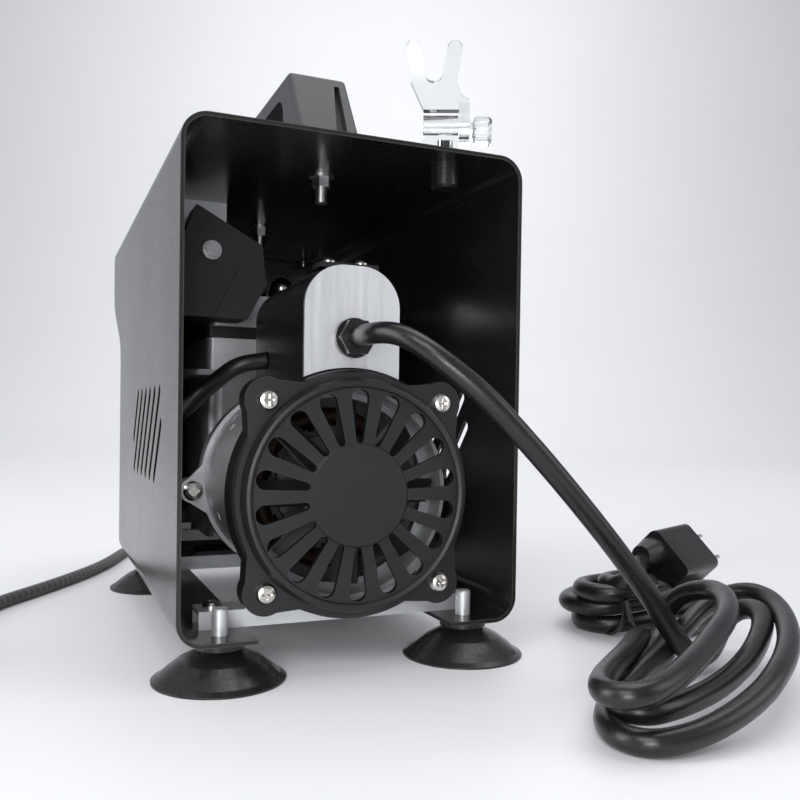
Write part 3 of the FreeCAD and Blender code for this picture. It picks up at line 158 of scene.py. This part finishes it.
def hank_points(per_turn=14):
    """The turns of the hank, from its right end round its back to its left end, and on."""
    points = []
    along = Vector((math.cos(HANK_HEADING), math.sin(HANK_HEADING), 0))
    across = Vector((-along.y, along.x, 0))
    count = int(HANK_TURN_COUNT * per_turn)
    for i in range(count + 1):
        t = i / per_turn
        turn = min(int(t), len(HANK_TURNS) - 1)
        ease = smooth((t - turn - HANK_EASE_START) / (1 - HANK_EASE_START))
        here = HANK_TURNS[turn]
        after = HANK_TURNS[min(turn + 1, len(HANK_TURNS) - 1)]
        half_long, half_wide, x, y, high = [a + (b - a) * ease for a, b in zip(here, after)]
        angle = 2 * math.pi * t
        c, s = math.cos(angle), math.sin(angle)
        u = half_long * math.copysign(abs(c) ** HANK_SQUARENESS, c)
        v = half_wide * math.copysign(abs(s) ** HANK_SQUARENESS, s)
        points.append(tuple(Vector((x, y, high)) + along * u + across * v))
    return points


def make_power_cord():
    loops = CORD_UNDER + LOOP_MIDDLE + LOOP_OUTER + LOOP_TOP
    route = CORD_DOWN + loops + CORD_ON + hank_points() + HANK_END
    points = [row(*p) for p in route]
    cord = spline_curve("power_cord_line", points, CORD_D / 2000)
    line = line_of(points)
    print("power cord length", round(length_of(line), 4))
    return cord, line


HOSE_DOWN = [(17, 233, 66), (17, 233, 48), (17, 236, 24), (19, 248, 1), (20, 266, -10.9),
             (20, 288, -10.9), (8.4, 306.7, -10.9), (-11.3, 316.5, -10.9), (-33.2, 314.5, -10.9),
             (-50.8, 301.3, -10.9), (-60, 274, -10.9), (-70, 245, -10.9), (-84, 216, -10.9),
             (-105, 181, -10.9), (-127, 149, -10.9), (-139, 118, -10.9), (-141, 92, -10.9)]
HOSE_COIL = (-176.0, 74.0)
HOSE_COIL_RADII = (36.0, 30.0, 24.0, 27.0, 33.0, 36.5)
HOSE_COIL_HEIGHTS = (-10.9, -10.9, -10.9, -5.2, -5.2, -5.2)
HOSE_EASE_START = 0.7


def hose_coil_points(per_turn=14):
    """Turns of the put-away length, three side by side on the surface and three on top of them."""
    points = []
    radii = HOSE_COIL_RADII
    heights = HOSE_COIL_HEIGHTS
    start_x, start_y, _ = HOSE_DOWN[-1]
    start = math.atan2(start_y - HOSE_COIL[1], start_x - HOSE_COIL[0])
    turns = len(radii) - 1 + (start + math.pi) / (2 * math.pi)
    count = round(turns * per_turn)
    for i in range(1, count + 1):
        t = turns * i / count
        turn = int(t)
        ease = smooth((t - turn - HOSE_EASE_START) / (1 - HOSE_EASE_START))
        nxt = min(turn + 1, len(radii) - 1)
        radius = radii[turn] + (radii[nxt] - radii[turn]) * ease
        high = heights[turn] + (heights[nxt] - heights[turn]) * ease
        angle = start - 2 * math.pi * t
        x = HOSE_COIL[0] + radius * math.cos(angle)
        y = HOSE_COIL[1] + radius * math.sin(angle)
        points.append((x, y, high))
    return points


HOSE_END = [(-212.5, 83, -6), (-212.5, 94, -7.4), (-212.5, 105, -7.4)]


def make_air_hose():
    points = [row(*p) for p in HOSE_DOWN + hose_coil_points() + HOSE_END]
    hose = spline_curve("air_hose_line", points, HOSE_D / 2000)
    line = line_of(points)
    print("air hose length", round(length_of(line), 4))
    return hose, line


power_cord, cord_line = make_power_cord()
air_hose, hose_line = make_air_hose()
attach(power_cord, "unit")
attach(air_hose, "unit")
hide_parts("power_cord", "cord_loops", "cord_hank")
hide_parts("air_hose", "hose_coil")


# ------------------------------------------------------------------------------- materials
def new_material(name):
    material = bpy.data.materials.new(name)
    material.use_nodes = True
    tree = material.node_tree
    return material, tree, tree.nodes["Principled BSDF"]


def link(tree, out, into):
    tree.links.new(out, into)


def coordinates(tree, stretch=(1, 1, 1)):
    source = tree.nodes.new("ShaderNodeTexCoord")
    mapping = tree.nodes.new("ShaderNodeMapping")
    mapping.inputs["Scale"].default_value = stretch
    link(tree, source.outputs["Object"], mapping.inputs["Vector"])
    return mapping.outputs["Vector"]


def noise(tree, where, scale, detail=3.0, rough=0.55):
    node = tree.nodes.new("ShaderNodeTexNoise")
    node.inputs["Scale"].default_value = scale
    node.inputs["Detail"].default_value = detail
    node.inputs["Roughness"].default_value = rough
    link(tree, where, node.inputs["Vector"])
    return node.outputs["Fac"]


# The part of a noise texture's range that its values mostly fill.
NOISE_LOW = 0.3
NOISE_HIGH = 0.7


def ramp(tree, value, low, high):
    """Map a noise's values to a range of numbers."""
    node = tree.nodes.new("ShaderNodeMapRange")
    node.inputs["From Min"].default_value = NOISE_LOW
    node.inputs["From Max"].default_value = NOISE_HIGH
    node.inputs["To Min"].default_value = low
    node.inputs["To Max"].default_value = high
    link(tree, value, node.inputs["Value"])
    return node.outputs["Result"]


def colour_mix(tree, factor, one, two):
    node = tree.nodes.new("ShaderNodeMix")
    node.data_type = "RGBA"
    node.inputs["A"].default_value = (*one, 1)
    node.inputs["B"].default_value = (*two, 1)
    link(tree, factor, node.inputs["Factor"])
    return node.outputs["Result"]


def bump(tree, height, strength, distance):
    node = tree.nodes.new("ShaderNodeBump")
    node.inputs["Strength"].default_value = strength
    node.inputs["Distance"].default_value = distance
    link(tree, height, node.inputs["Height"])
    return node.outputs["Normal"]


# How far the fine grain moves the roughness, about the middle of its range.
GRAIN_IN_GLOSS = 0.35
GRAIN_IN_GLOSS_MEAN = 0.17
COAT_ROUGHNESS = 0.1


def surface(name, dark, light, metal, rough, grain, stretch=(1, 1, 1), bumps=(0.25, 0.00006),
            coat=0.0, patch=18.0):
    """Two close tones in soft patches, uneven gloss, and a fine grain in the surface."""
    material, tree, shader = new_material(name)
    where = coordinates(tree, stretch)
    wide = noise(tree, where, patch)
    fine = noise(tree, where, grain, 4.0, 0.6)
    tones = colour_mix(tree, ramp(tree, wide, 0.0, 1.0), dark, light)
    link(tree, tones, shader.inputs["Base Color"])
    blend = tree.nodes.new("ShaderNodeMath")
    blend.operation = "MULTIPLY_ADD"
    blend.inputs[1].default_value = GRAIN_IN_GLOSS
    link(tree, fine, blend.inputs[0])
    lowest = rough[0] - GRAIN_IN_GLOSS_MEAN
    highest = rough[1] - GRAIN_IN_GLOSS_MEAN
    link(tree, ramp(tree, wide, lowest, highest), blend.inputs[2])
    link(tree, blend.outputs["Value"], shader.inputs["Roughness"])
    link(tree, bump(tree, fine, bumps[0], bumps[1]), shader.inputs["Normal"])
    shader.inputs["Metallic"].default_value = metal
    shader.inputs["Coat Weight"].default_value = coat
    shader.inputs["Coat Roughness"].default_value = COAT_ROUGHNESS
    return material


# The cosine between a surface's normal and its rounded normal, where the brighter edge tone starts and is
# full.
EDGE_TONE_STARTS = 0.93
EDGE_TONE_FULL = 0.72


def edge_lightened(material, edge_tone, width, amount):
    """Show a brighter tone along sharp edges."""
    tree = material.node_tree
    shader = tree.nodes["Principled BSDF"]
    bevel = tree.nodes.new("ShaderNodeBevel")
    bevel.samples = 4
    bevel.inputs["Radius"].default_value = width
    geometry = tree.nodes.new("ShaderNodeNewGeometry")
    dot = tree.nodes.new("ShaderNodeVectorMath")
    dot.operation = "DOT_PRODUCT"
    link(tree, bevel.outputs["Normal"], dot.inputs[0])
    link(tree, geometry.outputs["Normal"], dot.inputs[1])
    level = tree.nodes.new("ShaderNodeMapRange")
    level.inputs["From Min"].default_value = EDGE_TONE_STARTS
    level.inputs["From Max"].default_value = EDGE_TONE_FULL
    level.inputs["To Max"].default_value = amount
    link(tree, dot.outputs["Value"], level.inputs["Value"])
    mix = tree.nodes.new("ShaderNodeMix")
    mix.data_type = "RGBA"
    mix.inputs["B"].default_value = (*edge_tone, 1)
    source = shader.inputs["Base Color"].links[0].from_socket
    link(tree, source, mix.inputs["A"])
    link(tree, level.outputs["Result"], mix.inputs["Factor"])
    link(tree, mix.outputs["Result"], shader.inputs["Base Color"])
    return material


ACRYLIC_IOR = 1.49
# How far in from the outline the painted edge-on shade reaches.
EDGE_ON_SHADE_BLEND = 0.22


def clear_plastic(name, tint, edge, rough):
    """Clear moulding with painted shade where it is seen edge on, standing in for the dark outlines that
    refraction gives thick acrylic.
    """
    material, tree, shader = new_material(name)
    where = coordinates(tree)
    smear = noise(tree, where, 60.0)
    fine = noise(tree, where, 700.0)
    # Painted shade: the tint darkens towards the edge colour where the surface is seen edge on.
    edge_on_shade = tree.nodes.new("ShaderNodeLayerWeight")
    edge_on_shade.inputs["Blend"].default_value = EDGE_ON_SHADE_BLEND
    link(tree, colour_mix(tree, edge_on_shade.outputs["Facing"], tint, edge), shader.inputs["Base Color"])
    shader.inputs["Transmission Weight"].default_value = 1.0
    shader.inputs["IOR"].default_value = ACRYLIC_IOR
    link(tree, ramp(tree, smear, rough, rough + 0.06), shader.inputs["Roughness"])
    link(tree, bump(tree, fine, 0.04, 0.00005), shader.inputs["Normal"])
    return material


def brushed(name, dark, light, rough, lines, bumps=(0.3, 0.00004), metal=1.0):
    """Metal with long fine scratches along one direction."""
    return surface(name, dark, light, metal, rough, 420.0, stretch=lines, bumps=bumps, patch=9.0)


FINISHES = {
    "shell": edge_lightened(
        surface("powder_coat", (0.009, 0.009, 0.010), (0.013, 0.013, 0.014), 0.0, (0.20, 0.24),
                1500.0, bumps=(0.04, 0.00003), patch=9.0),
        (0.16, 0.16, 0.11), 0.0005, 0.8),
    "panel": surface("panel_coat", (0.009, 0.009, 0.010), (0.015, 0.015, 0.016), 0.0, (0.22, 0.29),
                     1500.0, bumps=(0.16, 0.00005)),
    "handle": edge_lightened(
        surface("handle_plastic", (0.030, 0.032, 0.035), (0.045, 0.047, 0.050), 0.0, (0.42, 0.52),
                1100.0, bumps=(0.35, 0.00008)),
        (0.12, 0.125, 0.13), 0.0008, 0.4),
    "rubber": surface("cup_rubber", (0.008, 0.008, 0.008), (0.016, 0.016, 0.016), 0.0, (0.20, 0.32),
                      500.0, bumps=(0.10, 0.00006), patch=40.0),
    "soft_rubber": surface("isolator_rubber", (0.012, 0.012, 0.012), (0.022, 0.022, 0.021), 0.0,
                           (0.55, 0.7), 700.0),
    "zinc": brushed("bright_zinc", (0.66, 0.68, 0.70), (0.80, 0.81, 0.82), (0.34, 0.46),
                    (0.12, 1, 1), metal=0.7),
    "screw": brushed("nickel_screws", (0.52, 0.50, 0.47), (0.78, 0.76, 0.72), (0.18, 0.32),
                     (1, 1, 1)),
    "bolt": brushed("steel_bolts", (0.40, 0.40, 0.41), (0.60, 0.60, 0.60), (0.28, 0.42), (1, 1, 1)),
    "can": brushed("can_steel", (0.62, 0.63, 0.65), (0.78, 0.79, 0.80), (0.34, 0.46), (1, 0.1, 1),
                   metal=0.65),
    "cover": edge_lightened(
        surface("cover_plastic", (0.005, 0.0055, 0.006), (0.010, 0.0105, 0.012), 0.0, (0.40, 0.50),
                1300.0, bumps=(0.30, 0.00007), patch=25.0),
        (0.08, 0.085, 0.09), 0.0006, 0.35),
    "lamination": brushed("lamination_steel", (0.10, 0.10, 0.11), (0.25, 0.25, 0.27), (0.40, 0.55),
                          (1, 12, 1)),
    "winding": surface("winding_enamel", (0.020, 0.010, 0.006), (0.045, 0.020, 0.010), 0.5,
                       (0.28, 0.40), 900.0, stretch=(1, 3, 1), bumps=(0.8, 0.0004), patch=120.0),
    "cast": surface("cast_aluminium", (0.36, 0.37, 0.38), (0.50, 0.51, 0.52), 1.0, (0.42, 0.56),
                    650.0, bumps=(0.45, 0.00015), patch=30.0),
    "bearing": brushed("bearing_steel", (0.50, 0.50, 0.51), (0.70, 0.70, 0.70), (0.14, 0.24),
                       (1, 1, 1)),
    "rotor": brushed("rotor_steel", (0.28, 0.28, 0.29), (0.44, 0.44, 0.45), (0.30, 0.42),
                     (1, 8, 1)),
    "fan": surface("fan_plastic", (0.010, 0.010, 0.011), (0.018, 0.018, 0.020), 0.0, (0.42, 0.52),
                   900.0),
    "face": brushed("face_aluminium", (0.80, 0.81, 0.83), (0.88, 0.89, 0.91), (0.30, 0.40),
                    (1, 1, 0.08), bumps=(0.08, 0.00002), metal=0.8),
    "box": surface("box_coat", (0.010, 0.010, 0.011), (0.018, 0.018, 0.019), 0.0, (0.26, 0.36),
                   900.0, bumps=(0.18, 0.00005)),
    "nylon": surface("gland_nylon", (0.008, 0.008, 0.009), (0.014, 0.014, 0.015), 0.0, (0.26, 0.36),
                     900.0, bumps=(0.15, 0.00005)),
    "iron": surface("crank_iron", (0.07, 0.07, 0.075), (0.13, 0.13, 0.135), 1.0, (0.45, 0.6),
                    500.0, bumps=(0.5, 0.00015)),
    "head": surface("head_aluminium", (0.68, 0.69, 0.71), (0.82, 0.83, 0.85), 0.65, (0.34, 0.48),
                    600.0, bumps=(0.35, 0.00012), patch=30.0),
    "valve": surface("valve_black", (0.012, 0.012, 0.013), (0.024, 0.024, 0.026), 0.2, (0.3, 0.42),
                     700.0),
    "plastic": surface("black_plastic", (0.012, 0.012, 0.013), (0.022, 0.022, 0.024), 0.0,
                       (0.36, 0.48), 1000.0, bumps=(0.25, 0.00006)),
    "nickel": brushed("fitting_nickel", (0.50, 0.48, 0.44), (0.74, 0.72, 0.67), (0.16, 0.30),
                      (1, 1, 1)),
    "poly": surface("inner_tube_poly", (0.010, 0.012, 0.018), (0.020, 0.022, 0.030), 0.0,
                    (0.18, 0.28), 600.0, bumps=(0.08, 0.00004)),
    "clear": clear_plastic("clear_acrylic", (0.93, 0.95, 0.95), (0.03, 0.035, 0.04), 0.015),
    "bowl": clear_plastic("clear_bowl", (0.84, 0.88, 0.89), (0.30, 0.33, 0.34), 0.06),
    "brass": brushed("turned_brass", (0.48, 0.34, 0.12), (0.66, 0.50, 0.22), (0.22, 0.34),
                     (1, 1, 6)),
    "cord": surface("cord_pvc", (0.005, 0.005, 0.006), (0.010, 0.010, 0.011), 0.0, (0.27, 0.36),
                    1200.0, bumps=(0.22, 0.00006), patch=50.0),
    "plug": surface("plug_pvc", (0.006, 0.006, 0.007), (0.012, 0.012, 0.013), 0.0, (0.30, 0.42),
                    1200.0, bumps=(0.25, 0.00006), patch=60.0),
    "red": surface("rocker_red", (0.30, 0.008, 0.006), (0.42, 0.014, 0.010), 0.0, (0.18, 0.28),
                   600.0, bumps=(0.06, 0.00004), coat=0.4),
}


# The braid's yarns: how far their pattern runs along the hose, in radians over its whole length,
# and how many go round it in each direction.
YARN_PHASE = 2400.0
YARNS_AROUND = 12


def braid_material():
    """Black braid: two sets of yarn that wind round the hose in opposite directions."""
    material, tree, shader = new_material("hose_braid")
    source = tree.nodes.new("ShaderNodeTexCoord")
    waves = []
    for sign in (1, -1):
        split = tree.nodes.new("ShaderNodeSeparateXYZ")
        link(tree, source.outputs["UV"], split.inputs["Vector"])
        along = tree.nodes.new("ShaderNodeMath")
        along.operation = "MULTIPLY"
        along.inputs[1].default_value = YARN_PHASE
        link(tree, split.outputs["X"], along.inputs[0])
        total = tree.nodes.new("ShaderNodeMath")
        total.operation = "MULTIPLY_ADD"
        total.inputs[1].default_value = sign * 2 * math.pi * YARNS_AROUND
        link(tree, split.outputs["Y"], total.inputs[0])
        link(tree, along.outputs["Value"], total.inputs[2])
        wave = tree.nodes.new("ShaderNodeMath")
        wave.operation = "SINE"
        link(tree, total.outputs["Value"], wave.inputs[0])
        waves.append(wave.outputs["Value"])
    crossing = tree.nodes.new("ShaderNodeMath")
    crossing.operation = "MULTIPLY"
    link(tree, waves[0], crossing.inputs[0])
    link(tree, waves[1], crossing.inputs[1])
    level = tree.nodes.new("ShaderNodeMapRange")
    level.inputs["From Min"].default_value = -1.0
    link(tree, crossing.outputs["Value"], level.inputs["Value"])
    tones = colour_mix(tree, level.outputs["Result"], (0.006, 0.006, 0.007), (0.035, 0.035, 0.038))
    link(tree, tones, shader.inputs["Base Color"])
    link(tree, bump(tree, level.outputs["Result"], 0.9, 0.0004), shader.inputs["Normal"])
    shader.inputs["Roughness"].default_value = 0.62
    shader.inputs["Sheen Weight"].default_value = 0.25
    return material


FINISHES["braid"] = braid_material()

NODE_FINISH = {
    "shell": "shell", "front_panel": "panel", "handle": "handle", "suction_feet": "rubber",
    "foot_studs": "zinc", "cross_bars": "zinc", "isolators": "soft_rubber", "motor_can": "can",
    "fan_cover": "cover", "stator_core": "lamination", "stator_windings": "winding", "rear_bell": "cast",
    "shaft_bearings": "bearing", "rotor": "rotor", "cooling_fan": "fan", "terminal_face": "face",
    "terminal_cover": "box", "capacitor": "plastic", "cord_gland": "nylon", "crankcase": "cast",
    "case_cover": "cast", "crank": "iron", "connecting_rod": "cast", "rod_bearings": "bearing",
    "piston": "head", "cylinder": "head", "valve_plate": "valve", "cylinder_head": "head",
    "pan_screws": "screw", "hex_bolts": "bolt", "intake_filter": "plastic", "air_fittings": "nickel",
    "inner_air_tube": "poly", "switch_box": "plastic", "switch_hanger": "zinc", "wire_sleeve": "nylon",
    "regulator_body": "box", "regulator_knob": "plastic", "moisture_bowl": "bowl", "drain_button": "brass",
    "gauge_case": "box", "gauge_needle": "plastic", "gauge_lens": "clear", "outlet_fitting": "nickel",
    "hose_nut": "nickel", "hose_end": "nickel", "rocker_frame": "nylon", "power_rocker": "red",
    "holder_bush": "nylon", "holder_block": "clear", "holder_fork": "clear", "holder_knob": "clear",
    "plug_body": "plug", "plug_blades": "nickel", "twist_tie": "nylon",
}


def paint(target, material):
    """Put the finish into every material slot of a piece."""
    if not target.material_slots:
        target.data.materials.append(material)
    for place in target.material_slots:
        place.material = material


for node, finish in NODE_FINISH.items():
    paint(NODES[node], FINISHES[finish])
paint(power_cord, FINISHES["cord"])
paint(air_hose, FINISHES["braid"])


# ------------------------------------------------------------------------------- stage and light
FLOOR_FRONT = -3.0
FLOOR_BACK = 1.4
BEND_RADIUS = 1.2
BEND_STEPS = 12
BACKDROP_TOP = 5.0
SWEEP_HALF_WIDTH = 6.0
SWEEP_TURN = math.radians(-23)


def make_stage():
    """A pale sweep: flat floor that rises smoothly into a backdrop."""
    mesh = bpy.data.meshes.new("sweep")
    profile = [(FLOOR_FRONT, 0.0), (FLOOR_BACK, 0.0)]
    for i in range(1, BEND_STEPS + 1):
        angle = math.radians(90 * i / BEND_STEPS)
        y = FLOOR_BACK + BEND_RADIUS * math.sin(angle)
        profile.append((y, BEND_RADIUS * (1 - math.cos(angle))))
    profile.append((FLOOR_BACK + BEND_RADIUS, BACKDROP_TOP))
    shape = bmesh.new()
    turn = Matrix.Rotation(SWEEP_TURN, 4, "Z")
    columns = []
    for x in (-SWEEP_HALF_WIDTH, SWEEP_HALF_WIDTH):
        columns.append([shape.verts.new(turn @ Vector((x, y, z))) for y, z in profile])
    for a, b, c, d in zip(columns[0], columns[1], columns[1][1:], columns[0][1:]):
        shape.faces.new((a, b, c, d)).smooth = True
    shape.to_mesh(mesh)
    shape.free()
    sweep = bpy.data.objects.new("sweep", mesh)
    bpy.context.scene.collection.objects.link(sweep)
    material, tree, shader = new_material("pale_sweep")
    where = coordinates(tree)
    tones = colour_mix(tree, noise(tree, where, 3.0), (0.80, 0.805, 0.82), (0.83, 0.835, 0.85))
    link(tree, tones, shader.inputs["Base Color"])
    shader.inputs["Roughness"].default_value = 0.42
    shader.inputs["Specular IOR Level"].default_value = 0.35
    sweep.data.materials.append(material)


def softbox(name, spot, aim, size, power):
    """One rectangular light at spot, aimed at a point; sizes in metres, power in watts."""
    data = bpy.data.lights.new(name, "AREA")
    data.shape = "RECTANGLE"
    data.size, data.size_y = size
    data.energy = power
    lamp = bpy.data.objects.new(name, data)
    bpy.context.scene.collection.objects.link(lamp)
    lamp.location = spot
    lamp.rotation_euler = (Vector(aim) - Vector(spot)).to_track_quat("-Z", "Y").to_euler()


def make_world(strength):
    world = bpy.data.worlds.new("studio")
    world.use_nodes = True
    background = world.node_tree.nodes["Background"]
    background.inputs["Color"].default_value = (0.92, 0.94, 1.0, 1)
    background.inputs["Strength"].default_value = strength
    bpy.context.scene.world = world


WORLD_STRENGTH = 0.42
# Name, place, point it is aimed at, size and power of each light.
SOFTBOXES = [
    ("key", (-0.9, -1.1, 1.2), (0, 0, 0.1), (1.0, 0.8), 11.0),
    ("top", (0.3, 0.2, 1.7), (0, 0, 0.1), (1.4, 1.4), 14.0),
    ("fill", (1.4, -0.9, 0.8), (0, -0.05, 0.1), (0.9, 0.9), 4.0),
    ("low_left", (-0.34, -0.80, 0.17), (-0.03, 0.0, 0.07), (0.30, 0.30), 2.4),
    ("left_strip", (-1.1, 0.1, 0.35), (0, 0, 0.08), (0.5, 0.9), 7.0),
    ("backdrop_light", (0.5, 1.2, 1.6), (0.9, 2.4, 0.8), (1.8, 1.0), 14.0),
]

make_stage()
make_world(WORLD_STRENGTH)
for light in SOFTBOXES:
    softbox(*light)
scene = bpy.context.scene
scene.view_settings.view_transform = "Standard"
scene.view_settings.look = "None"
scene.view_settings.exposure = 0.0
